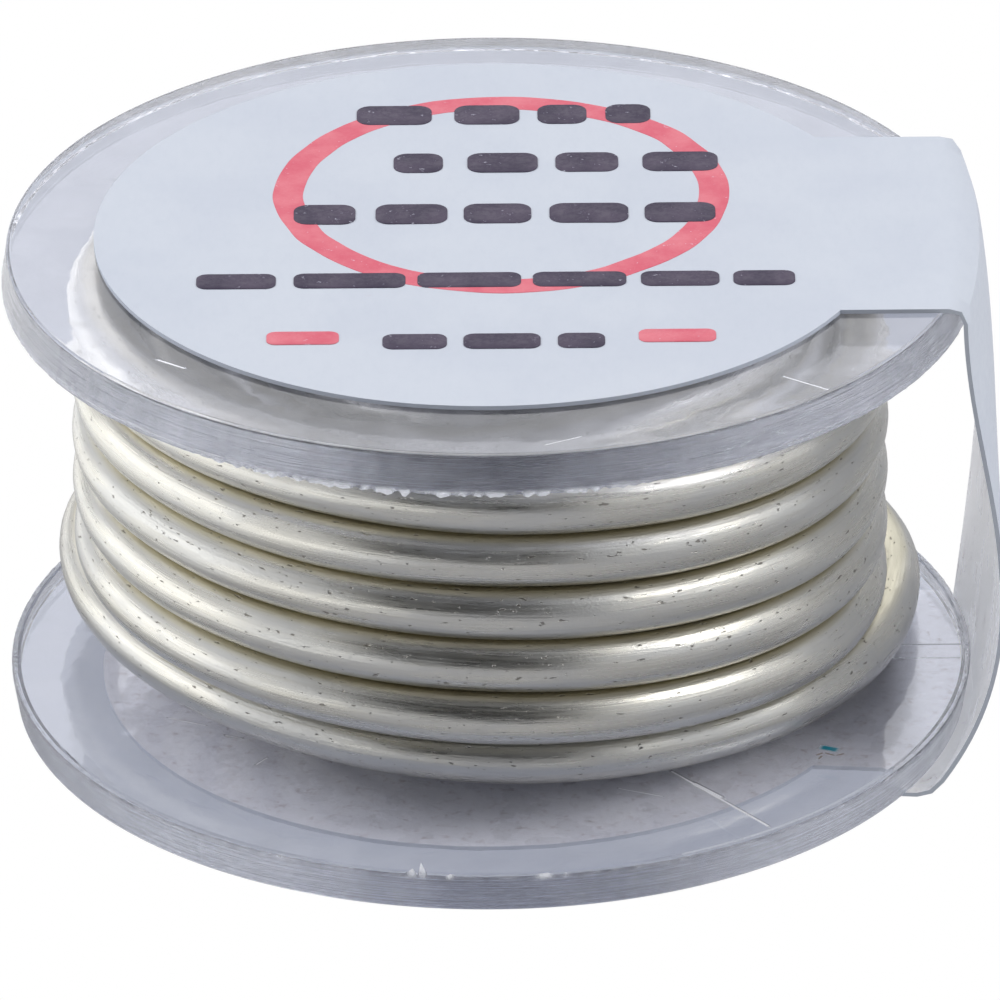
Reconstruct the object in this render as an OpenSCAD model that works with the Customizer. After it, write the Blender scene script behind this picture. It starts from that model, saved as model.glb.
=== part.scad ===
// A small clear bobbin of thick bare solder wire, closed by a die-cut seal label.
// The origin is on the bobbin's axis, on the plane that it stands on. +Z runs up the axis and +X points at
// the label's strap. Left and right mean -X and +X, front and back mean -Y and +Y.

/* [Bobbin] */
// Diameter of each flange, at its widest edge
flange_d = 20.5; // [20.4:0.05:20.6]
// Thickness of each flange
flange_t = 0.85; // [0.7:0.05:0.85]
// Height of the bobbin over its two flanges
bobbin_h = 10.55; // [10.5:0.05:10.8]
// How much narrower a flange is at its outer face, all round
rim_draft = 0.1; // [0.05:0.01:0.15]
// Rounding of each flange's outer edge
rim_round = 0.1; // [0.05:0.01:0.15]
// Outer diameter of the tube that the wire is wound on
core_d = 7.16; // [7.1:0.02:7.16]
// Diameter of the tube's shouldered ends, which sit in the flanges
spigot_d = 6.8; // [6.6:0.05:7]
// Diameter of the bore, which takes a spindle
bore_d = 6; // [5.8:0.1:6.1]

/* [Wire] */
// Diameter of the solder wire
wire_d = 1.2; // [1:0.05:1.2]
// Rise from one turn to the next in the three inner layers
inner_pitch = 1.23; // [1.21:0.005:1.23]
// Drop from one turn to the next in the outer layer
outer_pitch = 1.22; // [1.21:0.005:1.23]
// Radial distance from one layer to the next
layer_gap = 1.29; // [1.28:0.01:1.3]
// How far each layer sits further to the left than the one inside it
layer_shift = 0.067; // [0.05:0.001:0.07]
// Height of the outer layer's first turn, where it starts at the left
outer_start_z = 8.82; // [8.8:0.01:8.85]

/* [Label] */
// Thickness of the label
label_t = 0.1; // [0.08:0.01:0.12]
// Diameter of the label's two round lobes
lobe_d = 16.6; // [16:0.1:17]
// Width of the strap that joins the lobes
strap_w = 8.4; // [8:0.1:8.6]
// Diameter of the hole in the lower lobe, which leaves the bore open
spindle_hole_d = 6.6; // [6.4:0.1:7]
// Turn of the lower lobe about the axis, because the strap was laid on askew
skew = -5.2; // [-6:0.1:-4]

/* [Hidden] */
$fn = 128;
clear_plastic = [0.80, 0.83, 0.90, 0.35];
solder_silver = [0.74, 0.73, 0.68];
label_white = [0.84, 0.85, 0.91];

flange_r = flange_d / 2;
bore_r = bore_d / 2;
spigot_r = spigot_d / 2;
core_r = core_d / 2;
rim_land = 0.1;
rounding_step = 15;
bobbin_top = label_t + bobbin_h;

// Wire: the inner layers move between seven levels, numbered from the lower flange. The second and third
// layers stop short of it, where the loose last loop needs the room
wire_r = wire_d / 2;
wire_sides = 48;
joint_len = 0.3;
joint_proud = 0.005;
joint_gap = 0.4;
core_slack = 0.01;
flange_slack = 0.1;
top_level = 6;
low_level = 1;
top_level_z = bobbin_top - flange_t - wire_r - flange_slack;
outer_turns = 5;
outer_front_drop = 0.98;
start_angle = 60;

// The loose last loop sits further back than the rest, and its tail comes down on the lower flange
loop_y = 1.4;
loop_left = [-8.63, 2.62];
loop_right = [8.6, 1.65];
tail_r = 7.8;
tail_angle = 50;
tail_slope = 3.2;

// Label: heights are those of the sheet's inner face
lobe_y = 0.2;
strap_y = 0.45;
tab_end_x = 9.1;
tab_margin = 0.03;
tab_overlap = 0.3;
fold_r = 0.25;
fold_steps = 4;
wall_steps = 14;
width_steps = 8;

function level_z(k) = top_level_z - (top_level - k) * inner_pitch;
function layer_r(n) = core_r + core_slack + wire_r + n * layer_gap;
function left_x(n) = -n * layer_shift - layer_r(n);
function right_x(n) = -n * layer_shift + layer_r(n);
function mix(a, b, t) = a + (b - a) * t;
function unit(v) = v / norm(v);

// Points [x, z] where layer n crosses the plane y = 0, from level a to level b, left and right in turn
function inner_layer(n, a, b) =
    let (step = sign(b - a))
    [for (k = [a:step:b - step]) each [[left_x(n), level_z(k)], [right_x(n), level_z(k + step)]]];

function outer_layer(n) =
    [for (k = [0:outer_turns - 1])
        let (z = outer_start_z - k * outer_pitch)
        each [[left_x(n), z], [right_x(n), z - outer_front_drop]]];

wire_points = concat(
    inner_layer(0, 0, top_level),
    inner_layer(1, top_level, low_level),
    inner_layer(2, low_level + 1, top_level),
    outer_layer(3)
);
tight_end = wire_points[len(wire_points) - 1];

// Turns its children so that X runs from the left point to the right point, about their middle
module between(left, right) {
    middle = (left + right) / 2;
    along = right - left;
    translate([middle[0], 0, middle[1]])
        rotate([0, -atan2(along[1], along[0]), 0])
            children();
}

// A short straight joint along Y, a hair thicker than the wire, which the stretches on both sides end in
module joint() {
    rotate([90, 0, 0])
        cylinder(r = wire_r + joint_proud, h = joint_len, center = true, $fn = wire_sides);
}

// A stretch of wire bent round Z to radius r. It begins with a joint, and stops just short of the next one
module wire_arc(r, start, angle) {
    rotate_extrude(angle = angle - 2 * joint_gap, start = start + joint_gap)
        translate([r, 0])
            circle(r = wire_r, $fn = wire_sides);
    rotate([0, 0, start])
        translate([r, 0, 0])
            joint();
}

// Half a turn between two points: round the front if it runs to the right, else round the back
module half_turn(a, b) {
    to_right = a[0] < b[0];
    left = to_right ? a : b;
    right = to_right ? b : a;
    between(left, right)
        wire_arc(norm(b - a) / 2, to_right ? 180 : 0, 180);
}

// The straight stretch that leads back from the last tight turn to the loose loop
module lead_back() {
    translate([tight_end[0], 0, tight_end[1]]) {
        joint();
        translate([0, loop_y / 2, 0])
            rotate([90, 0, 0])
                cylinder(r = wire_r, h = loop_y - joint_len / 2, center = true, $fn = wire_sides);
    }
}

module solder_wire() {
    color(solder_silver) {
        translate([0, 0, level_z(0)])
            wire_arc(layer_r(0), start_angle, 180 - start_angle);
        for (i = [0:len(wire_points) - 2])
            half_turn(wire_points[i], wire_points[i + 1]);
        lead_back();
        translate([0, loop_y, 0]) {
            half_turn(tight_end, loop_left);
            half_turn(loop_left, loop_right);
            translate([loop_right[0], 0, loop_right[1]])
                rotate([0, -tail_slope, 0])
                    translate([-tail_r, 0, 0])
                        wire_arc(tail_r, 0, tail_angle);
        }
    }
}

// A flange with its inner face at z = 0 and its outer face above
module flange() {
    outer_r = flange_r - rim_draft;
    rounding = [for (a = [0:rounding_step:90])
        [outer_r - rim_round + rim_round * cos(a), flange_t - rim_round + rim_round * sin(a)]];
    color(clear_plastic)
        rotate_extrude()
            polygon(concat([[spigot_r, 0], [flange_r, 0], [flange_r, rim_land]], rounding, [[spigot_r, flange_t]]));
}

module lower_flange() {
    translate([0, 0, label_t + flange_t])
        mirror([0, 0, 1])
            flange();
}

module upper_flange() {
    translate([0, 0, bobbin_top - flange_t])
        flange();
}

module core_tube() {
    color(clear_plastic)
        translate([0, 0, label_t])
            difference() {
                union() {
                    cylinder(r = spigot_r, h = bobbin_h);
                    translate([0, 0, flange_t])
                        cylinder(r = core_r, h = bobbin_h - 2 * flange_t);
                }
                translate([0, 0, -1])
                    cylinder(r = bore_r, h = bobbin_h + 2);
            }
}

// Point of a cubic curve through p[0] and p[3]
function cubic(p, t) =
    mix(mix(mix(p[0], p[1], t), mix(p[1], p[2], t), t), mix(mix(p[1], p[2], t), mix(p[2], p[3], t), t), t);
function quadratic(a, b, c, t) = mix(mix(a, b, t), mix(b, c, t), t);

// Point at part t of the way from a fold's end to where the strap stops, on top of the lobe's tab
function on_tab(fold_end, along, t) = fold_end - along * (fold_end * along - tab_end_x + tab_overlap) * t;

// One lengthwise line of the strap: flat on the top, over the fold, down the curve p, under the fold, flat below
function strap_line(p, along_top, along_low) =
    let (
        t_fold = fold_r / norm(p[1] - p[0]) / 3,
        over = p[0] - along_top * fold_r,
        under = p[3] - along_low * fold_r
    )
    concat(
        [on_tab(over, along_top, 1), on_tab(over, along_top, 1 / 2)],
        [for (i = [0:fold_steps - 1]) quadratic(over, p[0], cubic(p, t_fold), i / fold_steps)],
        [for (i = [0:wall_steps]) cubic(p, mix(t_fold, 1 - t_fold, i / wall_steps))],
        [for (i = [1:fold_steps]) quadratic(cubic(p, 1 - t_fold), p[3], under, i / fold_steps)],
        [on_tab(under, along_low, 1 / 2), on_tab(under, along_low, 1)]
    );

// The strap's near edge, middle and far edge, each as four control points from the upper fold to the lower one
low_z = label_t;
high_z = bobbin_top;
upper_z = mix(low_z, high_z, 2 / 3);
lower_z = mix(low_z, high_z, 1 / 3);
near_edge = [[9.85, -3.75, high_z], [9.85, -4.22, upper_z], [12.05, -4.68, lower_z], [9.2, -5.15, low_z]];
far_edge = [[9.96, 4.65, high_z], [10.95, 4.13, upper_z], [10.4, 3.62, lower_z], [9.95, 3.1, low_z]];
middle = [[10.27, 0.45, high_z], [10.74, -0.05, upper_z], [10.85, -0.53, lower_z], [10.27, -1.02, low_z]];

// Sheet grid: rows run down the strap and columns run across it from the near edge to the far edge
lines = [for (p = [near_edge, middle, far_edge]) strap_line(p, [1, 0, 0], [cos(skew), sin(skew), 0])];
rows = len(lines[0]);
function across(r, s) =
    let (n = lines[0][r], m = lines[1][r], f = lines[2][r])
    quadratic(n, 2 * m - (n + f) / 2, f, s);
function sheet_point(r, c) = across(r, c / width_steps);
function sheet_normal(r, c) =
    let (
        down = sheet_point(min(r + 1, rows - 1), c) - sheet_point(max(r - 1, 0), c),
        side = sheet_point(r, min(c + 1, width_steps)) - sheet_point(r, max(c - 1, 0))
    )
    unit(cross(down, side));

module strap() {
    columns = width_steps + 1;
    count = rows * columns;
    inner = [for (r = [0:rows - 1]) for (c = [0:width_steps]) sheet_point(r, c)];
    outer = [for (r = [0:rows - 1]) for (c = [0:width_steps]) sheet_point(r, c) + sheet_normal(r, c) * label_t];
    function at(r, c) = r * columns + c;
    skin = [for (r = [0:rows - 2]) for (c = [0:width_steps - 1])
        each [[at(r, c), at(r + 1, c), at(r, c + 1)], [at(r + 1, c), at(r + 1, c + 1), at(r, c + 1)]]];
    back_skin = [for (f = skin) [f[0] + count, f[2] + count, f[1] + count]];
    edge = concat(
        [for (c = [0:width_steps]) at(0, c)],
        [for (r = [1:rows - 1]) at(r, width_steps)],
        [for (c = [width_steps - 1:-1:0]) at(rows - 1, c)],
        [for (r = [rows - 2:-1:1]) at(r, 0)]
    );
    walls = [for (i = [0:len(edge) - 1])
        let (a = edge[i], b = edge[(i + 1) % len(edge)])
        each [[a, b, b + count], [a, b + count, a + count]]];
    polyhedron(points = concat(inner, outer), faces = concat(skin, back_skin, walls));
}

// A lobe with the tab that leads to the strap
module lobe_outline(tab_y) {
    tab_w = strap_w - 2 * tab_margin;
    translate([0, lobe_y])
        circle(d = lobe_d);
    translate([0, tab_y - tab_w / 2])
        square([tab_end_x, tab_w]);
}

module seal_label() {
    color(label_white) {
        translate([0, 0, bobbin_top])
            linear_extrude(label_t)
                lobe_outline(strap_y);
        strap();
        linear_extrude(label_t)
            rotate(skew)
                difference() {
                    lobe_outline(-lobe_y);
                    circle(d = spindle_hole_d);
                }
    }
}

lower_flange();
upper_flange();
core_tube();
solder_wire();
seal_label();
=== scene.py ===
import math

import bpy
import numpy as np
from mathutils import Matrix, Vector
from mathutils.geometry import delaunay_2d_cdt


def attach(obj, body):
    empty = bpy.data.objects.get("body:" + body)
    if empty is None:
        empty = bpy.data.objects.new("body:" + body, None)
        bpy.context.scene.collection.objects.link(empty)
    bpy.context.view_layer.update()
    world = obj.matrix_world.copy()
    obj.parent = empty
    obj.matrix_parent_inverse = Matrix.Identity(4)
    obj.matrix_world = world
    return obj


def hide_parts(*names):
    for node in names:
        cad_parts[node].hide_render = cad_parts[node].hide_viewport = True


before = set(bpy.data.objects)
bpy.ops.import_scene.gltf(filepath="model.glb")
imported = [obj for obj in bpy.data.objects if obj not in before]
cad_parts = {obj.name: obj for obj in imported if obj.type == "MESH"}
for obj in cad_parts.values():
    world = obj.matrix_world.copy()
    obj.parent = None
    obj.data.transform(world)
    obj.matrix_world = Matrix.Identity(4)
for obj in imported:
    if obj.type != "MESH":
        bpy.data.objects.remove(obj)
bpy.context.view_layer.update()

# Lengths in this script are in millimetres, in the part's own frame. new_mesh() turns them into metres.
MM = 0.001
label_t = 0.1
bobbin_top = 10.65
flange_t = 0.85
flange_r = 10.25
core_r = 3.58
spigot_r = 3.4
wire_r = 0.6
lobe_r = 8.3

# ---------------------------------------------------------------- meshes


def new_mesh(name, points, faces, materials, face_material=None):
    """A smooth-shaded object from points in millimetres."""
    mesh = bpy.data.meshes.new(name)
    mesh.from_pydata([tuple(p) for p in np.asarray(points) * MM], [], [tuple(f) for f in faces])
    mesh.validate()
    mesh.polygons.foreach_set("use_smooth", [True] * len(mesh.polygons))
    for material in materials:
        mesh.materials.append(material)
    if face_material is not None:
        mesh.polygons.foreach_set("material_index", face_material)
    mesh.update()
    piece = bpy.data.objects.new(name, mesh)
    bpy.context.scene.collection.objects.link(piece)
    return piece


def add_attribute(piece, name, values):
    """A number or a 3-vector for each point, which the material reads."""
    values = np.asarray(values, np.float32)
    kind, field = ("FLOAT", "value") if values.ndim == 1 else ("FLOAT_VECTOR", "vector")
    attribute = piece.data.attributes.new(name, kind, "POINT")
    attribute.data.foreach_set(field, values.ravel())


def sharpen(piece, angle):
    """Marks the edges sharper than angle, in degrees, so that they shade as corners."""
    bpy.context.view_layer.objects.active = piece
    piece.select_set(True)
    bpy.ops.object.shade_smooth_by_angle(angle=math.radians(angle), keep_sharp_edges=True)
    piece.select_set(False)


def ring_noise(angles, seed, lowest, highest, power=1.0):
    """Smooth noise round a circle, about -1 to 1, with waves from lowest to highest per turn."""
    rng = np.random.default_rng(seed)
    total = np.zeros_like(angles)
    weight = 0.0
    for waves in range(lowest, highest + 1):
        size = (lowest / waves) ** power
        total += size * np.sin(waves * angles + rng.uniform(0, 2 * math.pi))
        weight += size * size
    return total / math.sqrt(weight)


def line_noise(length, step, seed, reach):
    """Smooth random numbers along a line, with about one wave in each reach."""
    rng = np.random.default_rng(seed)
    knots = rng.normal(0, 1, int(length / reach) + 6)
    at = np.arange(0, length, step) / reach + 1.5
    k = at.astype(int)
    t = at - k
    a, b, c, d = knots[k - 1], knots[k], knots[k + 1], knots[k + 2]
    return ((-a + 3 * b - 3 * c + d) * t**3 + (2 * a - 5 * b + 4 * c - d) * t**2 + (c - a) * t + 2 * b) / 2


def step_between(x, low, high):
    """0 up to low, 1 from high on, and smooth between."""
    t = np.clip((x - low) / (high - low), 0, 1)
    return t * t * (3 - 2 * t)


# ---------------------------------------------------------------- materials


class Shader:
    """One material's node tree. Inputs are plain values, or other nodes' outputs to link."""

    def __init__(self, name):
        self.material = bpy.data.materials.new(name)
        self.material.use_nodes = True
        self.tree = self.material.node_tree
        self.tree.nodes.clear()

    def node(self, kind, inputs=(), output=0, **settings):
        made = self.tree.nodes.new("ShaderNode" + kind)
        for key, value in settings.items():
            setattr(made, key, value)
        for key, value in dict(inputs).items():
            socket = made.inputs[key]
            if isinstance(value, bpy.types.NodeSocket):
                self.tree.links.new(value, socket)
            else:
                socket.default_value = value
        return made.outputs[output] if made.outputs else None

    def math(self, operation, a, b=0.0, clamp=False):
        return self.node("Math", {0: a, 1: b}, operation=operation, use_clamp=clamp)

    def scaled(self, vector, x, y, z):
        return self.node("Mapping", {"Vector": vector, "Scale": (x, y, z)})

    def noise(self, vector, scale, detail=3.0, roughness=0.55, distortion=0.0):
        inputs = {"Vector": vector, "Scale": scale, "Detail": detail}
        return self.node("TexNoise", inputs | {"Roughness": roughness, "Distortion": distortion})

    def between(self, value, low, high, out_low=0.0, out_high=1.0):
        """value mapped from low..high to out_low..out_high, clamped and smooth."""
        inputs = {"Value": value, "From Min": low, "From Max": high, "To Min": out_low, "To Max": out_high}
        return self.node("MapRange", inputs, interpolation_type="SMOOTHSTEP")

    def mix(self, factor, a, b):
        """A colour between a and b. A Mix node's colours are its inputs 6 and 7 and its output 2."""
        inputs = {0: factor, 6: a, 7: b}
        return self.node("Mix", inputs, output=2, data_type="RGBA")

    def coordinate(self, vector, axis):
        return self.node("SeparateXYZ", {"Vector": vector}, output=axis)

    def attribute(self, name, output="Fac"):
        return self.node("Attribute", output=output, attribute_name=name)

    def bump(self, height, distance, strength=1.0, normal=None):
        inputs = {"Height": height, "Distance": distance, "Strength": strength}
        if normal is not None:
            inputs["Normal"] = normal
        return self.node("Bump", inputs)

    def dot(self, a, b):
        return self.node("VectorMath", {0: a, 1: b}, output="Value", operation="DOT_PRODUCT")

    def place(self):
        """Where the point is, in millimetres."""
        coordinates = self.node("TexCoord", output="Object")
        return self.scaled(coordinates, 1 / MM, 1 / MM, 1 / MM)

    def stroke(self, place, start, end, width):
        """1 on a thin scratch from start to end, seen from above, and 0 away from it."""
        start, end = Vector(start), Vector(end)
        along = end - start
        length = along.length
        along.normalize()
        offset = self.node("VectorMath", {0: place, 1: (start.x, start.y, 0)}, operation="SUBTRACT")
        run = self.dot(offset, (along.x, along.y, 0))
        side = self.dot(offset, (-along.y, along.x, 0))
        middle = self.math("ABSOLUTE", self.math("SUBTRACT", run, length / 2))
        inside = self.between(middle, length / 2 - min(3 * width, length / 4), length / 2, 1.0, 0.0)
        near = self.between(self.math("ABSOLUTE", side), width * 0.4, width, 1.0, 0.0)
        return self.math("MULTIPLY", inside, near)

    def strongest(self, values):
        total = values[0]
        for value in values[1:]:
            total = self.math("MAXIMUM", total, value)
        return total

    def finish(self, shader):
        self.node("OutputMaterial", {"Surface": shader})
        return self.material


def solder_material():
    """Drawn solder wire: fine streaks along it, pits and specks, and a yellowish tint where turns touch,
    partly tarnish and partly painted shade.
    """
    s = Shader("solder")
    run = s.attribute("wire_run", output="Vector")
    streak_at = s.scaled(run, 0.25, 9.0, 9.0)
    fine_at = s.scaled(run, 0.9, 22.0, 22.0)
    streaks = s.noise(streak_at, 1.0, 4.0, 0.6)
    fine = s.noise(fine_at, 1.0, 3.0, 0.6)
    blotches = s.noise(s.scaled(run, 0.35, 1.3, 1.3), 1.0, 4.0, 0.6)
    specks = s.noise(s.scaled(run, 5.0, 12.0, 12.0), 1.0, 2.0, 0.5)
    pits = s.between(specks, 0.66, 0.74)
    grains = s.noise(s.scaled(run, 16.0, 26.0, 26.0), 1.0, 2.0, 0.5)
    height = s.math("ABSOLUTE", s.coordinate(run, "Z"))
    # Painted shade, with some tarnish: the wire turns yellower and a little darker towards its top and
    # bottom, where the turns touch
    groove_tint_and_shade = s.between(s.math("ADD", height, s.math("MULTIPLY", blotches, 0.16)), 0.52, 0.68)
    colour = s.mix(s.between(blotches, 0.35, 0.68), (0.62, 0.605, 0.555, 1), (0.57, 0.57, 0.555, 1))
    colour = s.mix(s.between(streaks, 0.52, 0.8, 0.0, 0.35), colour, (0.42, 0.40, 0.33, 1))
    colour = s.mix(s.math("MULTIPLY", groove_tint_and_shade, 0.6), colour, (0.60, 0.55, 0.38, 1))
    colour = s.mix(s.math("MULTIPLY", pits, 0.65), colour, (0.13, 0.11, 0.09, 1))
    rough = s.math("ADD", s.between(fine, 0.3, 0.75, 0.24, 0.35), s.math("MULTIPLY", groove_tint_and_shade, 0.08))
    rough = s.math("ADD", rough, s.between(blotches, 0.45, 0.7, 0.0, 0.10))
    normal = s.bump(streaks, 0.02 * MM, 0.55)
    normal = s.bump(fine, 0.006 * MM, 0.5, normal)
    sparkle = s.math("MULTIPLY", grains, s.between(blotches, 0.42, 0.62, 0.15, 1.0))
    normal = s.bump(sparkle, 0.008 * MM, 0.7, normal)
    normal = s.bump(pits, -0.02 * MM, 0.8, normal)
    inputs = {"Base Color": colour, "Roughness": rough, "Metallic": 1.0, "Normal": normal}
    return s.finish(s.node("BsdfPrincipled", inputs))


def plastic_material(name, top_z, scratches, specks=()):
    """Clear moulded plastic, with drawn marks round the rim, white chipped flash and fine scratches.

    The scratches lie on the face at the height top_z. So do the specks, which are strokes of paint or dirt,
    each with its colour at the end.
    """
    s = Shader(name)
    place = s.place()
    around = s.attribute("rim_run", output="Vector")
    chipped = s.attribute("chipped")
    rim_streaks = s.noise(s.scaled(around, 0.14, 5.0, 18.0), 1.0, 4.0, 0.65)
    ripples = s.noise(s.scaled(around, 0.7, 0.7, 0.7), 1.0, 2.0, 0.5)
    bands = s.noise(s.scaled(around, 0.6, 0.0, 0.12), 1.0, 3.0, 0.6)
    haze = s.noise(place, 0.9, 5.0, 0.65)
    hairlines = s.noise(s.scaled(place, 0.5, 8.0, 1.0), 1.0, 5.0, 0.8, 1.5)
    on_top = s.between(s.coordinate(place, "Z"), top_z - 0.04, top_z - 0.02)
    marks = s.strongest([s.stroke(place, *scratch) for scratch in scratches])
    marks = s.math("MULTIPLY", marks, on_top)
    frost = s.math("MAXIMUM", chipped, s.math("MULTIPLY", marks, 0.8))
    on_rim = s.between(s.coordinate(around, "Y"), flange_r - 0.19, flange_r - 0.11)
    # Painted shade: the rim is tinted a little darker than the faces
    colour = s.mix(on_rim, (0.87, 0.88, 0.95, 1), (0.84, 0.86, 0.93, 1))
    colour = s.mix(frost, colour, (0.95, 0.96, 1.0, 1))
    milky = s.between(haze, 0.3, 0.7, 0.98, 0.93)
    clear = s.math("MULTIPLY", milky, s.math("SUBTRACT", 1.0, s.math("MULTIPLY", frost, 0.85)))
    for *line, tint in specks:
        paint = s.math("MULTIPLY", s.stroke(place, *line), on_top)
        colour = s.mix(paint, colour, tint)
        clear = s.math("MULTIPLY", clear, s.math("SUBTRACT", 1.0, paint))
    rough = s.between(hairlines, 0.55, 0.8, 0.03, 0.12)
    rough = s.math("ADD", rough, s.between(haze, 0.4, 0.75, 0.0, 0.06))
    rough = s.math("ADD", rough, s.math("MULTIPLY", frost, 0.4))
    normal = s.bump(s.math("MULTIPLY", rim_streaks, on_rim), 0.06 * MM, 0.8)
    normal = s.bump(s.math("MULTIPLY", bands, on_rim), 0.18 * MM, 0.7, normal)
    normal = s.bump(ripples, 0.05 * MM, 0.4, normal)
    normal = s.bump(haze, 0.006 * MM, 0.5, normal)
    normal = s.bump(marks, -0.02 * MM, 0.8, normal)
    inputs = {
        "Base Color": colour, "Roughness": rough, "Transmission Weight": clear, "IOR": 1.5, "Normal": normal
    }
    plastic = s.node("BsdfPrincipled", inputs)
    # Lamps shine straight through, because refracted lamp light would be noise
    shadow_ray = s.node("LightPath", output="Is Shadow Ray")
    open_way = s.node("BsdfTransparent", {"Color": (0.93, 0.94, 0.96, 1)})
    return s.finish(s.node("MixShader", {0: shadow_ray, 1: plastic, 2: open_way}))


def label_material():
    """Coated label paper: a faint mottle, fine fibres and a soft sheen."""
    s = Shader("label")
    place = s.place()
    mottle = s.noise(place, 0.35, 3.0, 0.5)
    fibres = s.noise(s.scaled(place, 6.0, 2.5, 6.0), 1.0, 5.0, 0.7)
    dust = s.between(s.noise(place, 5.0, 3.0, 0.5), 0.72, 0.8, 0.0, 0.35)
    colour = s.mix(s.between(mottle, 0.35, 0.65), (0.40, 0.43, 0.49, 1), (0.42, 0.45, 0.505, 1))
    colour = s.mix(s.between(fibres, 0.45, 0.8, 0.0, 0.12), colour, (0.38, 0.40, 0.48, 1))
    colour = s.mix(dust, colour, (0.42, 0.40, 0.44, 1))
    normal = s.bump(fibres, 0.004 * MM, 0.5)
    normal = s.bump(mottle, 0.05 * MM, 0.4, normal)
    inputs = {
        "Base Color": colour, "Roughness": s.between(fibres, 0.3, 0.8, 0.42, 0.55), "Normal": normal,
        "Coat Weight": 0.08, "Coat Roughness": 0.25
    }
    return s.finish(s.node("BsdfPrincipled", inputs))


def adhesive_material():
    """The label's glued side: greyer, glossier, much paler than the printed face as painted light where it
    lies in shade, and dirty with lint and reddish dust.
    """
    s = Shader("label_adhesive")
    place = s.place()
    mottle = s.noise(place, 0.8, 4.0, 0.6)
    drawn = s.noise(s.scaled(place, 3.0, 3.0, 0.45), 1.0, 5.0, 0.7)
    grit = s.noise(place, 7.0, 3.0, 0.6)
    dirt = s.math("MULTIPLY", s.between(drawn, 0.48, 0.68), s.between(grit, 0.42, 0.62))
    # Painted glints: small spots are mixed towards a pale colour
    painted_glints = s.between(s.noise(s.scaled(place, 9.0, 9.0, 5.0), 1.0, 2.0, 0.5), 0.64, 0.7)
    # Painted light: the glued side is kept about twice as pale as the paper's printed face, which lifts it
    # where it lies in shade
    colour = s.mix(s.between(mottle, 0.35, 0.65), (0.88, 0.87, 0.88, 1), (0.95, 0.94, 0.94, 1))
    colour = s.mix(s.math("MULTIPLY", dirt, 0.6), colour, (0.42, 0.32, 0.32, 1))
    colour = s.mix(s.math("MULTIPLY", painted_glints, 0.5), colour, (0.9, 0.9, 0.92, 1))
    normal = s.bump(drawn, 0.03 * MM, 0.6)
    normal = s.bump(grit, 0.015 * MM, 0.6, normal)
    # Painted glow: the glued side emits a little light where the strap hangs free, standing in for daylight
    # through the thin paper
    hanging = s.between(s.coordinate(place, "X"), lobe_r, 9.4, 0.0, 0.27)
    glow = s.math("MULTIPLY", hanging, s.math("SUBTRACT", 1.0, s.math("MULTIPLY", dirt, 0.5)))
    inputs = {
        "Base Color": colour, "Roughness": s.between(mottle, 0.3, 0.7, 0.22, 0.4), "Normal": normal,
        "Emission Color": (0.90, 0.93, 1.0, 1), "Emission Strength": glow
    }
    return s.finish(s.node("BsdfPrincipled", inputs))


def ink_material(name, full, thin):
    """Printed ink: slightly uneven, with tiny gaps where the paper's grain shows."""
    s = Shader(name)
    place = s.place()
    grain = s.noise(place, 6.0, 4.0, 0.7)
    patches = s.noise(place, 1.1, 2.0, 0.5)
    colour = s.mix(s.between(patches, 0.3, 0.7), full, thin)
    colour = s.mix(s.between(grain, 0.62, 0.75, 0.0, 0.5), colour, (0.62, 0.63, 0.72, 1))
    normal = s.bump(grain, 0.006 * MM, 0.6)
    inputs = {
        "Base Color": colour, "Roughness": s.between(grain, 0.3, 0.7, 0.35, 0.6), "Normal": normal,
        "Specular IOR Level": 0.25
    }
    return s.finish(s.node("BsdfPrincipled", inputs))


# ---------------------------------------------------------------- solder wire

# The winding: each inner layer moves between seven levels, and the outer one drops all the way
core_slack = 0.01
layer_gap = 1.29
layer_shift = 0.067
inner_pitch = 1.23
top_level_z = bobbin_top - flange_t - wire_r - 0.1
outer_pitch = 1.22
outer_start_z = 8.88
outer_drop = 1.09
loop_y = 2.03
loop_left = (-8.69, 2.59)
loop_right = (8.65, 1.63)
loop_front = 7.03
loop_back = 9.3
tail_r = 6.8
tail_angle = 50
turn_steps = 84
path_step = 0.3
wire_sides = 28
nip_length = 0.6


def layer_r(n):
    return core_r + core_slack + wire_r + n * layer_gap


def level_z(k):
    return top_level_z - (6 - k) * inner_pitch


def inner_layer(n, first, last):
    step = 1 if last > first else -1
    points = []
    for k in range(first, last, step):
        points.append((-n * layer_shift - layer_r(n), level_z(k)))
        points.append((-n * layer_shift + layer_r(n), level_z(k + step)))
    return points


def half_turn(a, b, from_y=0.0, to_y=0.0, reach=None, sag=False):
    """Points from a to b, round the front if it runs to the right, else round the back. b is left out.

    It starts at from_y and ends at to_y. reach is how far it gets from the plane y = 0.
    """
    turned = np.linspace(0, math.pi, turn_steps, endpoint=False)
    t = (1 - np.cos(turned)) / 2
    x = a[0] + (b[0] - a[0]) * t
    side = -1 if b[0] > a[0] else 1
    if reach is None:
        reach = abs(b[0] - a[0]) / 2
    end_y = np.where(turned < math.pi / 2, from_y, to_y)
    y = end_y + (side * reach - end_y) * np.sin(turned)
    # The outer turns fall slowly at first and fastest at the end
    drop = 0.86 * t - 0.524 * t**2 + 0.664 * t**3 if sag else t
    return np.stack([x, y, a[1] + (b[1] - a[1]) * drop], -1)


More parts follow.
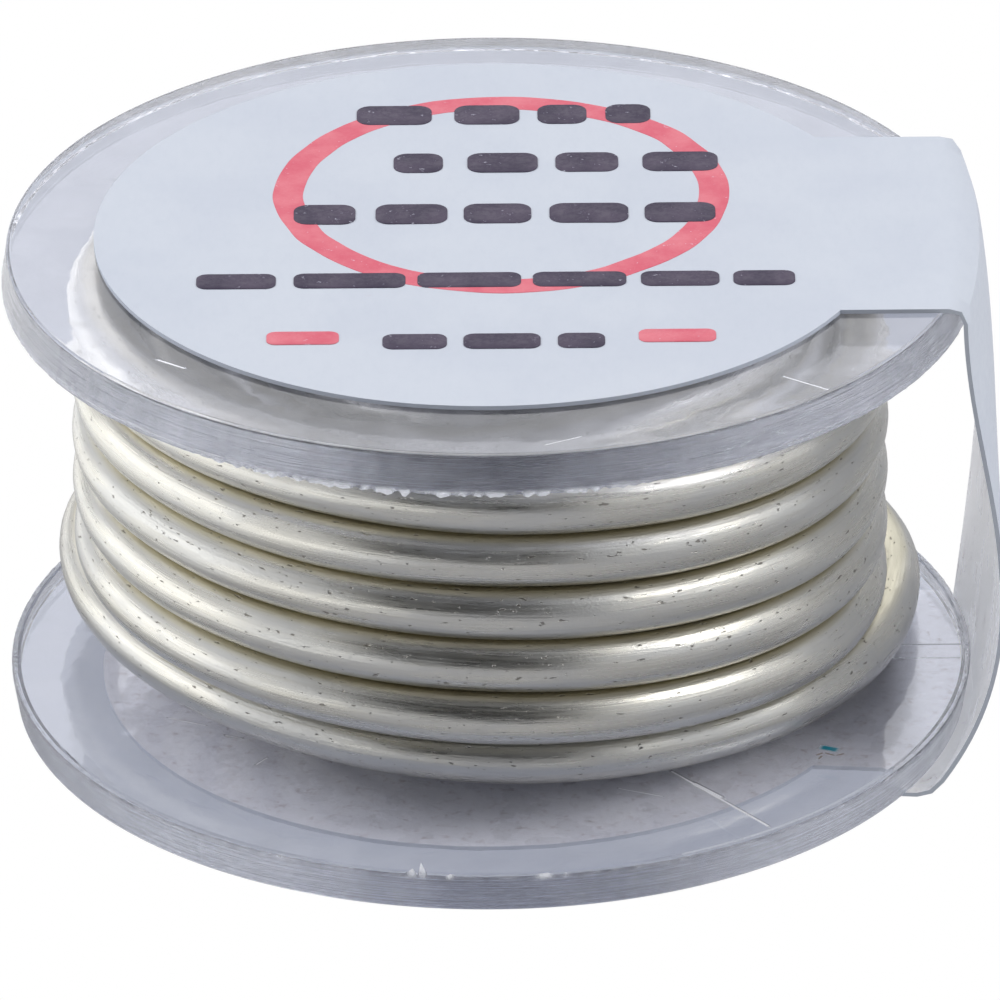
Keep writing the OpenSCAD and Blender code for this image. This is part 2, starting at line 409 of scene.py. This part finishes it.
def wire_path():
    start = [(-layer_r(0), level_z(0))]
    tight = inner_layer(0, 0, 6) + inner_layer(1, 6, 1) + inner_layer(2, 2, 6)
    inner_count = len(tight)
    for k in range(5):
        z = outer_start_z - k * outer_pitch
        tight.append((-3 * layer_shift - layer_r(3), z))
        tight.append((-3 * layer_shift + layer_r(3), z - outer_drop))
    first_angle = np.radians(np.arange(60, 180, 2))
    r = layer_r(0)
    height = np.full_like(first_angle, level_z(0))
    stretches = [np.stack([r * np.cos(first_angle), r * np.sin(first_angle), height], -1)]
    for i in range(len(tight) - 1):
        outer_front = i >= inner_count and tight[i][0] < 0
        stretches.append(half_turn(tight[i], tight[i + 1], sag=outer_front))
    # The loose last loop sits further back, close above the lower flange, and its tail ends behind
    right = tight[-1]
    stretches.append(half_turn(right, loop_left, 0.0, loop_y, loop_back))
    stretches.append(half_turn(loop_left, loop_right, loop_y, loop_y, loop_front))
    tail = np.radians(np.linspace(0, tail_angle, 30))
    x = loop_right[0] - tail_r + tail_r * np.cos(tail)
    height = np.full_like(tail, loop_right[1])
    stretches.append(np.stack([x, loop_y + tail_r * np.sin(tail), height], -1))
    return np.concatenate(stretches)


def even_steps(points, step):
    """The same path, with a point at every step along it."""
    run = np.concatenate([[0], np.cumsum(np.linalg.norm(np.diff(points, axis=0), axis=1))])
    at = np.arange(0, run[-1], step)
    return np.stack([np.interp(at, run, points[:, i]) for i in range(3)], -1), at


def smoothed(points, reach):
    """Each point averaged with the reach points on either side, except near the two ends."""
    kernel = np.hanning(2 * reach + 3)[1:-1]
    kernel /= kernel.sum()
    middle = np.stack([np.convolve(points[:, i], kernel, "valid") for i in range(3)], -1)
    return np.concatenate([points[:reach], middle, points[-reach:]])


def tube_faces(count, clockwise):
    """Faces of a tube of count rings of wire_sides points, closed by a centre point at each end."""
    faces = []
    for i in range(count - 1):
        a, b = i * wire_sides, (i + 1) * wire_sides
        for j in range(wire_sides):
            k = (j + 1) % wire_sides
            quad = (a + j, a + k, b + k, b + j)
            faces.append(quad if clockwise else quad[::-1])
    first, last = count * wire_sides, count * wire_sides + 1
    end = (count - 1) * wire_sides
    for j in range(wire_sides):
        k = (j + 1) % wire_sides
        caps = [(first, k, j), (last, end + j, end + k)]
        faces.extend(caps if clockwise else [cap[::-1] for cap in caps])
    return faces


def make_wire(material):
    path, run = even_steps(wire_path(), path_step)
    path = smoothed(path, 3)
    count = len(path)
    outward = path * (1, 1, 0)
    outward /= np.linalg.norm(outward, axis=1)[:, None]
    length = path_step * count + path_step / 2
    path = path + outward * 0.010 * line_noise(length, path_step, 3, 2.6)[:count, None]
    path[:, 2] += 0.009 * line_noise(length, path_step, 4, 3.4)[:count]
    tangent = np.gradient(path, axis=0)
    tangent /= np.linalg.norm(tangent, axis=1)[:, None]
    outward -= tangent * (outward * tangent).sum(1)[:, None]
    outward /= np.linalg.norm(outward, axis=1)[:, None]
    up = np.cross(outward, tangent)
    up *= np.sign(up[:, 2])[:, None]
    theta = np.linspace(0, 2 * math.pi, wire_sides, endpoint=False)
    radius = wire_r * (1 + 0.004 * line_noise(length, path_step, 5, 1.7)[:count])
    # The cutters nipped the tail to a blunt wedge
    nip = np.clip((run - run[-1] + nip_length) / nip_length, 0, 1)
    wide = 1 + 0.18 * nip**2
    flat = 1 - 0.62 * nip**2
    rings = (
        path[:, None]
        + outward[:, None] * (radius * wide)[:, None, None] * np.cos(theta)[None, :, None]
        + up[:, None] * (radius * flat)[:, None, None] * np.sin(theta)[None, :, None]
    )
    points = np.concatenate([rings.reshape(-1, 3), path[:1], path[-1:]])
    clockwise = np.dot(np.cross(outward[0], up[0]), tangent[0]) > 0
    faces = tube_faces(count, clockwise)
    piece = new_mesh("solder_winding", points, faces, [material])
    across = wire_r * np.stack([np.cos(theta), np.sin(theta)], -1)
    wire_run = np.concatenate([np.repeat(run, wire_sides)[:, None], np.tile(across, (count, 1))], 1)
    wire_run = np.concatenate([wire_run, [[run[0], 0, 0], [run[-1], 0, 0]]])
    add_attribute(piece, "wire_run", wire_run)
    sharpen(piece, 50)
    return piece


# ---------------------------------------------------------------- bobbin


def lathe(name, material, profile, segments, shape):
    """A ring turned about Z from a closed profile of (r, z) points, which shape moves and marks."""
    profile = np.array(profile, float)
    angles = np.linspace(0, 2 * math.pi, segments, endpoint=False)
    r = np.repeat(profile[None, :, 0], segments, 0)
    z = np.repeat(profile[None, :, 1], segments, 0)
    r, z, chipped = shape(angles, r, z)
    points = np.stack([r * np.cos(angles)[:, None], r * np.sin(angles)[:, None], z], -1).reshape(-1, 3)
    count = len(profile)
    after = np.roll(profile, -1, axis=0)
    outside_in = (profile[:, 0] * after[:, 1] - after[:, 0] * profile[:, 1]).sum() < 0
    faces = []
    for i in range(segments):
        for j in range(count):
            k, m = (j + 1) % count, (i + 1) % segments
            quad = (i * count + j, m * count + j, m * count + k, i * count + k)
            faces.append(quad[::-1] if outside_in else quad)
    piece = new_mesh(name, points, faces, [material])
    # Millimetres round the ring, outward and up
    run = np.stack([np.broadcast_to(angles[:, None] * flange_r, r.shape), r, z], -1)
    add_attribute(piece, "rim_run", run.reshape(-1, 3))
    add_attribute(piece, "chipped", chipped.ravel())
    sharpen(piece, 35)
    return piece


# How many points each part of flange_profile() has. The lip's three come after the wall's
face_points = 30
rounding_points = 6
wall_points = 5
before_lip = face_points + rounding_points + wall_points
lip_points = slice(before_lip, before_lip + 3)


def flange_profile(inner_z, outer_z):
    """(r, z) points of a flange, from its hole out along the face at outer_z and back along the other."""
    up = 1 if outer_z > inner_z else -1
    clear = 0.006
    hole = spigot_r + clear
    outer_face = [(r, outer_z) for r in np.linspace(hole + 0.03, flange_r - 0.22, face_points)]
    rounding = [
        (flange_r - 0.2 + 0.1 * math.sin(a), outer_z - up * (0.1 - 0.1 * math.cos(a)))
        for a in np.linspace(0, math.pi / 2, rounding_points + 1)[1:]
    ]
    wall_low = inner_z + up * 0.12
    wall_high = outer_z - up * 0.1
    wall = [
        (flange_r - 0.1 + 0.1 * t, wall_high + (wall_low - wall_high) * t)
        for t in np.linspace(0, 1, wall_points + 1)[1:]
    ]
    lip = [(flange_r, inner_z + up * 0.07), (flange_r, inner_z + up * 0.03), (flange_r - 0.02, inner_z)]
    inner_face = [(r, inner_z) for r in np.linspace(flange_r - 0.12, hole + 0.03, face_points)]
    ends = [(hole, inner_z + up * 0.03), (hole, outer_z - up * 0.03)]
    return outer_face + rounding + wall + lip + inner_face + ends


def flange_shape(up, seed, ragged_from, ragged_to, torn_amount, chips):
    """Waviness of the moulding, and the torn flash along the inner face's edge.

    ragged_from and ragged_to are the angles where the flash is worst, in degrees from the front to the right.
    torn_amount is 1 for flash torn all along there. chips lists single torn lumps as (angle, width, size).
    """

    def shape(angles, r, z):
        from_front = np.degrees(np.arctan2(np.cos(angles), -np.sin(angles)))
        window = step_between(from_front, ragged_from - 12, ragged_from + 8)
        window *= torn_amount * (1 - step_between(from_front, ragged_to - 8, ragged_to + 12))
        torn = ring_noise(angles, seed, 40, 260, 0.7)
        fine = ring_noise(angles, seed + 1, 150, 420, 0.6)
        amount = 0.12 + 0.88 * window
        out = 0.018 * amount * (torn + 0.5 * fine)
        hang = np.clip(0.035 * window + 0.03 * amount * (torn + 0.6 * fine), -0.004, 0.1)
        frost = 0.25 * step_between(torn, 0.8, 1.8) + 0.8 * window * step_between(torn, -0.9, 0.3)
        frost = np.clip(frost, 0, 1)
        for angle, width, size in chips:
            near = np.exp(-(((from_front - angle) / width) ** 2))
            out = out + 0.02 * size * near * torn
            hang = hang + size * near * (0.8 + 0.4 * fine)
            frost = np.maximum(frost, near)
        r = r * (1 + 0.0004 * ring_noise(angles, seed + 2, 2, 7, 0.6)[:, None])
        r[:, lip_points] += out[:, None] * (0.5, 1.0, 0.8)
        z[:, lip_points] -= up * hang[:, None] * (0.2, 0.7, 1.0)
        chipped = np.zeros_like(r)
        chipped[:, lip_points] = frost[:, None] * (0.5, 1.0, 1.0)
        return r, z, chipped

    return shape


def make_flange(name, material, inner_z, outer_z, seed, ragged, chips):
    up = 1 if outer_z > inner_z else -1
    shape = flange_shape(up, seed, *ragged, chips)
    return lathe(name, material, flange_profile(inner_z, outer_z), 1080, shape)


# ---------------------------------------------------------------- label

lobe_y = 0.2
strap_y = 0.45
strap_half = 4.2
tab_end_x = 8.8
fold_r = 0.25
skew = math.radians(-5.2)
spindle_hole_r = 3.3
# A hair of air between the glue and the plastic keeps the two surfaces apart
glue_gap = 0.006
paper_wave = 0.006

# Control points of the strap's near edge, middle and far edge, from the upper fold to the lower one
near_edge = [(9.85, -3.75), (9.85, -4.22), (12.05, -4.68), (9.2, -5.15)]
middle_line = [(10.27, 0.45), (10.74, -0.05), (10.85, -0.53), (10.27, -1.02)]
far_edge = [(9.96, 4.65), (10.95, 4.13), (10.4, 3.62), (9.95, 3.1)]


def quadratic(a, b, c, t):
    return (1 - t) ** 2 * a + 2 * (1 - t) * t * b + t**2 * c


def cubic(p, t):
    return (1 - t) ** 3 * p[0] + 3 * (1 - t) ** 2 * t * p[1] + 3 * (1 - t) * t**2 * p[2] + t**3 * p[3]


def strap_line(edge):
    """Points down one line of the strap's inner face, from the top lobe's tab to the lower one's."""
    heights = np.linspace(bobbin_top, label_t, 4)
    p = np.array([(x, y, z) for (x, y), z in zip(edge, heights)])
    along_low = np.array([math.cos(skew), math.sin(skew), 0])
    over = p[0] - (fold_r, 0, 0)
    under = p[3] - along_low * fold_r
    t_fold = fold_r / np.linalg.norm(p[1] - p[0]) / 3
    end_top = np.array([tab_end_x, over[1], over[2]])
    end_low = under - along_low * (under @ along_low - tab_end_x)
    line = [end_top + (over - end_top) * t for t in np.linspace(0, 1, 6)[:-1]]
    line += [quadratic(over, p[0], cubic(p, t_fold), t) for t in np.linspace(0, 1, 9)[:-1]]
    line += [cubic(p, t) for t in np.linspace(t_fold, 1 - t_fold, 61)]
    line += [quadratic(cubic(p, 1 - t_fold), p[3], under, t) for t in np.linspace(0, 1, 9)[1:]]
    line += [under + (end_low - under) * t for t in np.linspace(0, 1, 6)[1:]]
    return np.array(line)


class Sheet:
    """The label as it lies on the bobbin. u runs along the flat label from the bobbin's axis, v across it."""

    def __init__(self):
        self.near, self.mid, self.far = (strap_line(e) for e in (near_edge, middle_line, far_edge))
        steps = np.linalg.norm(np.diff(self.mid, axis=0), axis=1)
        self.run = tab_end_x + np.concatenate([[0], np.cumsum(steps)])
        self.strap_end = self.run[-1]
        self.far_lobe = self.strap_end + tab_end_x

    def at(self, u, v):
        """Inner face's points for arrays u and v."""
        u, v = np.asarray(u, float), np.asarray(v, float)
        top = np.stack([u, strap_y + v, np.full_like(u, bobbin_top)], -1)
        x, y = self.far_lobe - u, v
        c, s = math.cos(skew), math.sin(skew)
        low = np.stack([x * c - y * s, x * s + y * c, np.full_like(u, label_t)], -1)
        row = np.interp(u, self.run, np.arange(len(self.run)))
        k = np.minimum(row.astype(int), len(self.run) - 2)
        t = (row - k)[:, None]
        n, m, f = (line[k] * (1 - t) + line[k + 1] * t for line in (self.near, self.mid, self.far))
        across = ((v + strap_half) / (2 * strap_half))[:, None]
        strap = quadratic(n, 2 * m - (n + f) / 2, f, across)
        strap = np.where((u < tab_end_x)[:, None], top, strap)
        return np.where((u > self.strap_end)[:, None], low, strap)

    def normals(self, u, v):
        e = 0.02
        du = self.at(u + e, v) - self.at(u - e, v)
        dv = self.at(u, v + e) - self.at(u, v - e)
        n = np.cross(du, dv)
        return n / np.linalg.norm(n, axis=1)[:, None]


def label_outline(sheet):
    """The die-cut outline on the flat label, once round."""
    spread = lobe_y - strap_y
    notch = math.asin((strap_half + spread) / lobe_r), math.asin((strap_half - spread) / lobe_r)
    lobe = np.linspace(notch[1], 2 * math.pi - notch[0], 220)
    top = np.stack([lobe_r * np.cos(lobe), spread + lobe_r * np.sin(lobe)], -1)
    notch_low = math.asin(strap_half / lobe_r)
    lobe = np.linspace(math.pi + notch_low, 3 * math.pi - notch_low, 220)
    low = np.stack([sheet.far_lobe + lobe_r * np.cos(lobe), lobe_r * np.sin(lobe)], -1)
    near = np.linspace(top[-1], low[0], 70)[1:-1]
    far = np.linspace(low[-1], top[0], 70)[1:-1]
    return np.concatenate([top, near, low, far])


def make_label(paper, glue):
    sheet = Sheet()
    outline = label_outline(sheet)
    around = np.linspace(0, 2 * math.pi, 120, endpoint=False)
    hole = (sheet.far_lobe, 0) + spindle_hole_r * np.stack([np.cos(around), np.sin(around)], -1)
    grid_step = 0.3
    us = np.arange(-lobe_r, sheet.far_lobe + lobe_r, grid_step)
    vs = np.arange(-lobe_r, lobe_r, grid_step)
    gu, gv = (g.ravel() for g in np.meshgrid(us, vs))
    margin = 0.2
    in_top = np.hypot(gu, gv - lobe_y + strap_y) < lobe_r - margin
    from_low = np.hypot(gu - sheet.far_lobe, gv)
    in_low = (from_low < lobe_r - margin) & (from_low > spindle_hole_r + margin)
    in_strap = (gu > 0) & (gu < sheet.far_lobe) & (np.abs(gv) < strap_half - margin)
    in_strap &= (from_low > spindle_hole_r + margin)
    keep = in_top | in_low | in_strap
    inside = np.stack([gu[keep], gv[keep]], -1)
    flat = [Vector(p) for p in np.concatenate([outline, hole, inside])]
    a, b = len(outline), len(outline) + len(hole)
    edges = [(i, (i + 1) % a) for i in range(a)] + [(i, a + (i - a + 1) % (b - a)) for i in range(a, b)]
    made = delaunay_2d_cdt(flat, edges, [], 1, 1e-5)
    uv = np.array([tuple(p) for p in made[0]])
    triangles = np.array([tuple(f) for f in made[2]])
    centre = uv[triangles].mean(1)
    triangles = triangles[np.hypot(centre[:, 0] - sheet.far_lobe, centre[:, 1]) > spindle_hole_r]
    p = uv[triangles]
    area = np.cross(p[:, 1] - p[:, 0], p[:, 2] - p[:, 0])
    triangles[area < 0] = triangles[area < 0][:, ::-1]
    inner = sheet.at(uv[:, 0], uv[:, 1])
    normal = sheet.normals(uv[:, 0], uv[:, 1])
    wave = paper_wave * np.sin(uv[:, 0] * 1.1 + 1) * np.sin(uv[:, 1] * 0.8 + 2)
    outer = inner + normal * (label_t + np.minimum(wave, 0))[:, None]
    inner = inner + normal * glue_gap
    count = len(uv)
    sides = dict.fromkeys((tri[i], tri[(i + 1) % 3]) for tri in triangles for i in range(3))
    rim = [e for e in sides if (e[1], e[0]) not in sides]
    faces = [tuple(t + count) for t in triangles]
    faces += [tuple(t[::-1]) for t in triangles]
    faces += [(i, j, j + count, i + count) for i, j in rim]
    which = [0] * len(triangles) + [1] * len(triangles) + [0] * len(rim)
    piece = new_mesh("seal_label_sheet", np.concatenate([inner, outer]), faces, [paper, glue], which)
    sharpen(piece, 40)
    return piece


# ---------------------------------------------------------------- printing

# The ink's foot is sunk a little way into the paper
ink_t = 0.012
print_z = bobbin_top + label_t - 0.004


def bar_outline(x, y, length, width):
    """A bar with rounded corners, as points once round."""
    corner = 0.32 * width
    turn = np.linspace(0, math.pi / 2, 7)
    points = []
    for k, sign in enumerate(((1, 1), (-1, 1), (-1, -1), (1, -1))):
        angle = turn + k * math.pi / 2
        middle = np.array(sign) * (length / 2 - corner, width / 2 - corner)
        points.append(corner * np.stack([np.cos(angle), np.sin(angle)], -1) + middle)
    return np.concatenate(points) + (x, y)


def extrude_outlines(name, outlines, material, lift=0.0):
    """Thin raised ink in the shape of each outline, with a slightly narrower top."""
    points, faces = [], []
    for outline in outlines:
        start = len(points)
        count = len(outline)
        centre = outline.mean(0)
        towards = centre - outline
        towards /= np.linalg.norm(towards, axis=1)[:, None]
        rings = ((outline, print_z), (outline, print_z + lift + ink_t * 0.7),
                 (outline + towards * 0.012, print_z + lift + ink_t))
        for shape, z in rings:
            points += [(x, y, z) for x, y in shape]
        for k in (0, 1):
            for i in range(count):
                j = (i + 1) % count
                a = start + k * count
                faces.append((a + i, a + j, a + count + j, a + count + i))
        faces.append(tuple(start + 2 * count + i for i in range(count)))
        faces.append(tuple(start + i for i in reversed(range(count))))
    piece = new_mesh(name, points, faces, [material])
    sharpen(piece, 40)
    return piece


def printed_ring(name, centre, radius, width, material):
    """A plain printed ring."""
    angles = np.linspace(0, 2 * math.pi, 160, endpoint=False)
    wobble = 0.02 * ring_noise(angles, 31, 3, 30, 0.8)
    top = print_z + ink_t * 0.8
    profile = [(radius - width / 2, print_z), (radius - width / 2 + 0.01, top),
               (radius + width / 2 - 0.01, top), (radius + width / 2, print_z)]
    points, faces = [], []
    for angle, shift in zip(angles, wobble):
        c, s = math.cos(angle), math.sin(angle)
        points += [(centre[0] + (r + shift) * c, centre[1] + (r + shift) * s, z) for r, z in profile]
    for i in range(len(angles)):
        m = (i + 1) % len(angles)
        for j in range(4):
            k = (j + 1) % 4
            faces.append((i * 4 + j, i * 4 + k, m * 4 + k, m * 4 + j))
    piece = new_mesh(name, points, faces, [material])
    sharpen(piece, 40)
    return piece


def print_rows(name, rows, material, seed):
    """Each row of (y, x from, x to, bar height, bar length) becomes short bars that stand in for words."""
    rng = np.random.default_rng(seed)
    outlines = []
    for y, x_from, x_to, height, length in rows:
        x = x_from
        while x < x_to - height:
            size = min(length * rng.uniform(0.75, 1.3), x_to - x)
            outlines.append(bar_outline(x + size / 2, y, size, height))
            x += size + height * rng.uniform(0.35, 0.55)
    return extrude_outlines(name, outlines, material, lift=0.006)


# ---------------------------------------------------------------- the object

solder = solder_material()
lower_scratches = [
    ((3.7, -5.6), (5.8, -8.2), 0.05),
    ((4.1, -6.1), (4.9, -7.0), 0.09),
    ((-5.7, -3.9), (-5.2, -4.1), 0.04),
    ((-5.0, -5.3), (-4.7, -4.9), 0.03),
    ((-6.9, -3.1), (-6.0, -3.5), 0.025),
    ((2.6, -6.4), (3.6, -6.8), 0.02),
    ((-2.8, 6.9), (-1.1, 8.6), 0.04),
    ((6.1, 5.0), (7.6, 5.9), 0.03),
]
upper_scratches = [
    ((6.0, -6.6), (7.0, -7.3), 0.03),
    ((-6.9, -5.6), (-6.2, -6.1), 0.04),
    ((5.2, -8.75), (5.5, -8.5), 0.06),
    ((-3.2, 8.9), (-1.9, 9.4), 0.03),
    ((1.1, -9.7), (1.9, -9.3), 0.02),
]
teal, lint = (0.004, 0.19, 0.27, 1), (0.20, 0.15, 0.13, 1)
lower_specks = [
    ((6.86, -4.62), (7.34, -4.82), 0.14, teal),
    ((6.80, -5.02), (6.98, -4.90), 0.035, lint),
    ((6.98, -4.90), (7.22, -5.04), 0.03, lint),
    ((7.22, -5.04), (7.42, -4.94), 0.03, lint),
    ((6.85, -5.20), (6.95, -5.02), 0.03, lint),
]
lower_plastic = plastic_material(
    "clear_plastic_lower", label_t + flange_t, lower_scratches, lower_specks
)
upper_plastic = plastic_material("clear_plastic_upper", bobbin_top, upper_scratches)

wire = make_wire(solder)
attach(wire, "root")
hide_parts("solder_wire")

lower_chips = [(-9.4, 0.5, 0.16), (-8.2, 0.35, 0.2), (-5, 0.4, 0.05), (6, 0.9, 0.05)]
lower = make_flange(
    "lower_flange_moulding", lower_plastic, label_t + flange_t, label_t, 11, (-35, 25, 0.15), lower_chips
)
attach(lower, "root")
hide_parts("lower_flange")

upper = make_flange(
    "upper_flange_moulding", upper_plastic, bobbin_top - flange_t, bobbin_top, 21, (-30, 14, 1.0), []
)
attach(upper, "root")
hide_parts("upper_flange")

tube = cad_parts["core_tube"]
tube.data.materials.clear()
tube.data.materials.append(lower_plastic)

paper = label_material()
glue = adhesive_material()
label = make_label(paper, glue)
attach(label, "root")
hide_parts("seal_label")

red = ink_material("red_ink", (0.50, 0.085, 0.125, 1), (0.55, 0.14, 0.175, 1))
dark = ink_material("dark_ink", (0.030, 0.022, 0.045, 1), (0.055, 0.042, 0.070, 1))
dark_rows = [
    (5.9, -2.8, 3.5, 0.95, 1.35),
    (3.5, -2.0, 4.9, 0.95, 1.35),
    (1.0, -4.1, 4.8, 0.95, 1.35),
    (-2.2, -6.1, 6.4, 0.7, 1.9),
    (-5.1, -2.2, 2.4, 0.7, 1.6),
]
dark_print = print_rows("printed_dark_bars", dark_rows, dark, 5)
red_rows = [(-4.9, -4.6, -3.1, 0.6, 2.4), (-4.9, 3.1, 4.7, 0.6, 2.4)]
red_print = print_rows("printed_red_bars", red_rows, red, 8)
red_ring = printed_ring("printed_red_ring", (0.3, 2.0), 4.5, 0.65, red)
for piece, slot in ((dark_print, "dark_ink"), (red_print, "red_ink"), (red_ring, "red_ink")):
    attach(piece, "root")

# ---------------------------------------------------------------- floor, light and camera

scene = bpy.context.scene
scene.view_settings.view_transform = "Standard"
scene.view_settings.look = "None"
# Light runs a long way inside the clear flanges before it comes out at a rim
scene.cycles.max_bounces = 24
scene.cycles.glossy_bounces = 20
scene.cycles.transmission_bounces = 16


def floor_material():
    """Pale paper, with a painted pool of light beside the object on the left. The picture shows it blown out
    to white.
    """
    s = Shader("pale_floor")
    place = s.place()
    grain = s.noise(place, 0.05, 4.0, 0.5)
    colour = s.mix(s.between(grain, 0.3, 0.7), (0.37, 0.37, 0.38, 1), (0.39, 0.39, 0.40, 1))
    # Painted light: a pool of light on the floor beside the object on the left
    painted_light_pool = s.between(s.coordinate(place, "X"), -22.0, -9.0, 1.0, 0.0)
    colour = s.mix(painted_light_pool, colour, (0.97, 0.97, 0.95, 1))
    paper = s.node("BsdfDiffuse", {"Color": colour})
    white = s.node("Emission", {"Color": (1, 1, 1, 1), "Strength": 1.0})
    behind_plastic = s.node("Emission", {"Color": (0.83, 0.88, 1.0, 1), "Strength": 0.48})
    fill = s.node("Emission", {"Color": (0.96, 0.97, 1.0, 1), "Strength": 0.8})
    seen = s.node("LightPath", output="Is Camera Ray")
    scattered = s.node("LightPath", output="Is Diffuse Ray")
    through = s.node("LightPath", output="Is Transmission Ray")
    paper = s.node("MixShader", {0: scattered, 1: paper, 2: fill})
    paper = s.node("MixShader", {0: through, 1: paper, 2: behind_plastic})
    return s.finish(s.node("MixShader", {0: seen, 1: paper, 2: white}))


def make_floor():
    """A wide sheet that lies flat and curves up far from the object."""
    reach, flat_reach, count = 900.0, 500.0, 41
    line = np.linspace(-reach, reach, count)
    points = []
    for y in line:
        for x in line:
            away = max(math.hypot(x, y) - flat_reach, 0.0)
            points.append((x, y, 0.002 * away**1.6 - 0.02))
    faces = [
        (j * count + i, j * count + i + 1, (j + 1) * count + i + 1, (j + 1) * count + i)
        for j in range(count - 1)
        for i in range(count - 1)
    ]
    return new_mesh("floor", points, faces, [floor_material()])


make_floor()


def soft_box(name, azimuth, elevation, distance, width, height, power, colour):
    """A rectangular lamp that faces the object. Azimuth is in degrees from the front to the right."""
    a, e = math.radians(azimuth), math.radians(elevation)
    away = Vector((math.sin(a) * math.cos(e), -math.cos(a) * math.cos(e), math.sin(e)))
    light = bpy.data.lights.new(name, "AREA")
    light.shape = "RECTANGLE"
    light.size, light.size_y = width * MM, height * MM
    light.energy = power
    light.color = colour
    lamp = bpy.data.objects.new(name, light)
    lamp.location = Vector((0, 0, 0.005)) + away * distance * MM
    lamp.rotation_mode = "QUATERNION"
    lamp.rotation_quaternion = away.to_track_quat("Z", "Y")
    scene.collection.objects.link(lamp)
    return lamp


soft_box("left_softbox", -97, 9, 400, 420, 190, 0.27, (1.0, 0.99, 0.96))
soft_box("right_softbox", 80, 44, 400, 150, 110, 0.26, (1.0, 0.98, 0.93))
backdrop = soft_box("backdrop_glow", 180, 32, 420, 560, 180, 0.32, (0.97, 0.98, 1.0))
backdrop.visible_diffuse = False
fills = (
    ("left_fill", -42, 38, 0.12), ("right_fill", 40, 38, 0.24),
    ("left_back_fill", -112, 32, 1.15), ("right_back_fill", 104, 26, 0.80),
)
for name, azimuth, elevation, power in fills:
    fill = soft_box(name, azimuth, elevation, 400, 260, 200, power, (0.98, 0.98, 1.0))
    fill.visible_glossy = False
    fill.visible_transmission = False


def make_world():
    """A pale room, dimmer straight behind the object and dark where the photographer stands."""
    world = bpy.data.worlds.new("studio")
    scene.world = world
    world.use_nodes = True
    tree = world.node_tree
    tree.nodes.clear()

    def add(kind, inputs, output=0, **settings):
        made = tree.nodes.new("ShaderNode" + kind)
        for key, value in settings.items():
            setattr(made, key, value)
        for key, value in inputs.items():
            if isinstance(value, bpy.types.NodeSocket):
                tree.links.new(value, made.inputs[key])
            else:
                made.inputs[key].default_value = value
        return made.outputs[output] if made.outputs else None

    def between(value, low, high, out_low, out_high):
        inputs = {"Value": value, "From Min": low, "From Max": high, "To Min": out_low, "To Max": out_high}
        return add("MapRange", inputs, interpolation_type="SMOOTHSTEP")

    direction = add("TexCoord", {}, "Generated")
    y = add("SeparateXYZ", {0: direction}, "Y")
    aside = add("Math", {0: add("SeparateXYZ", {0: direction}, "X")}, operation="ABSOLUTE")
    narrow = between(aside, 0.34, 0.66, 1.0, 0.0)
    ahead = add("Math", {0: narrow, 1: between(y, -0.50, -0.15, 0.95, 0.0)}, operation="MULTIPLY")
    front = add("Math", {0: 1.0, 1: ahead}, operation="SUBTRACT")
    behind = between(y, 0.80, 0.96, 1.0, 0.55)
    around = add("Math", {0: front, 1: behind}, operation="MULTIPLY")
    strength = add("Math", {0: 0.88, 1: around}, operation="MULTIPLY")
    shine = add("Background", {"Color": (0.96, 0.97, 1.0, 1), "Strength": strength})
    add("OutputWorld", {"Surface": shine})


make_world()


def make_camera():
    elevation, distance, roll = math.radians(26.94), 258.9, math.radians(-0.435)
    target = Vector((0, 0, 4.48))
    back = Vector((0, -math.cos(elevation), math.sin(elevation)))
    level = Vector((1, 0, 0))
    upright = Vector((0, math.sin(elevation), math.cos(elevation)))
    right = level * math.cos(roll) + upright * math.sin(roll)
    up = upright * math.cos(roll) - level * math.sin(roll)
    data = bpy.data.cameras.new("camera")
    data.lens = 438.3
    data.sensor_width = 36
    data.shift_x = 0.0099
    data.clip_start, data.clip_end = 0.01, 10
    camera = bpy.data.objects.new("camera", data)
    place = Matrix((right, up, back)).transposed().to_4x4()
    place.translation = (target + back * distance) * MM
    camera.matrix_world = place
    scene.collection.objects.link(camera)
    scene.camera = camera


make_camera()
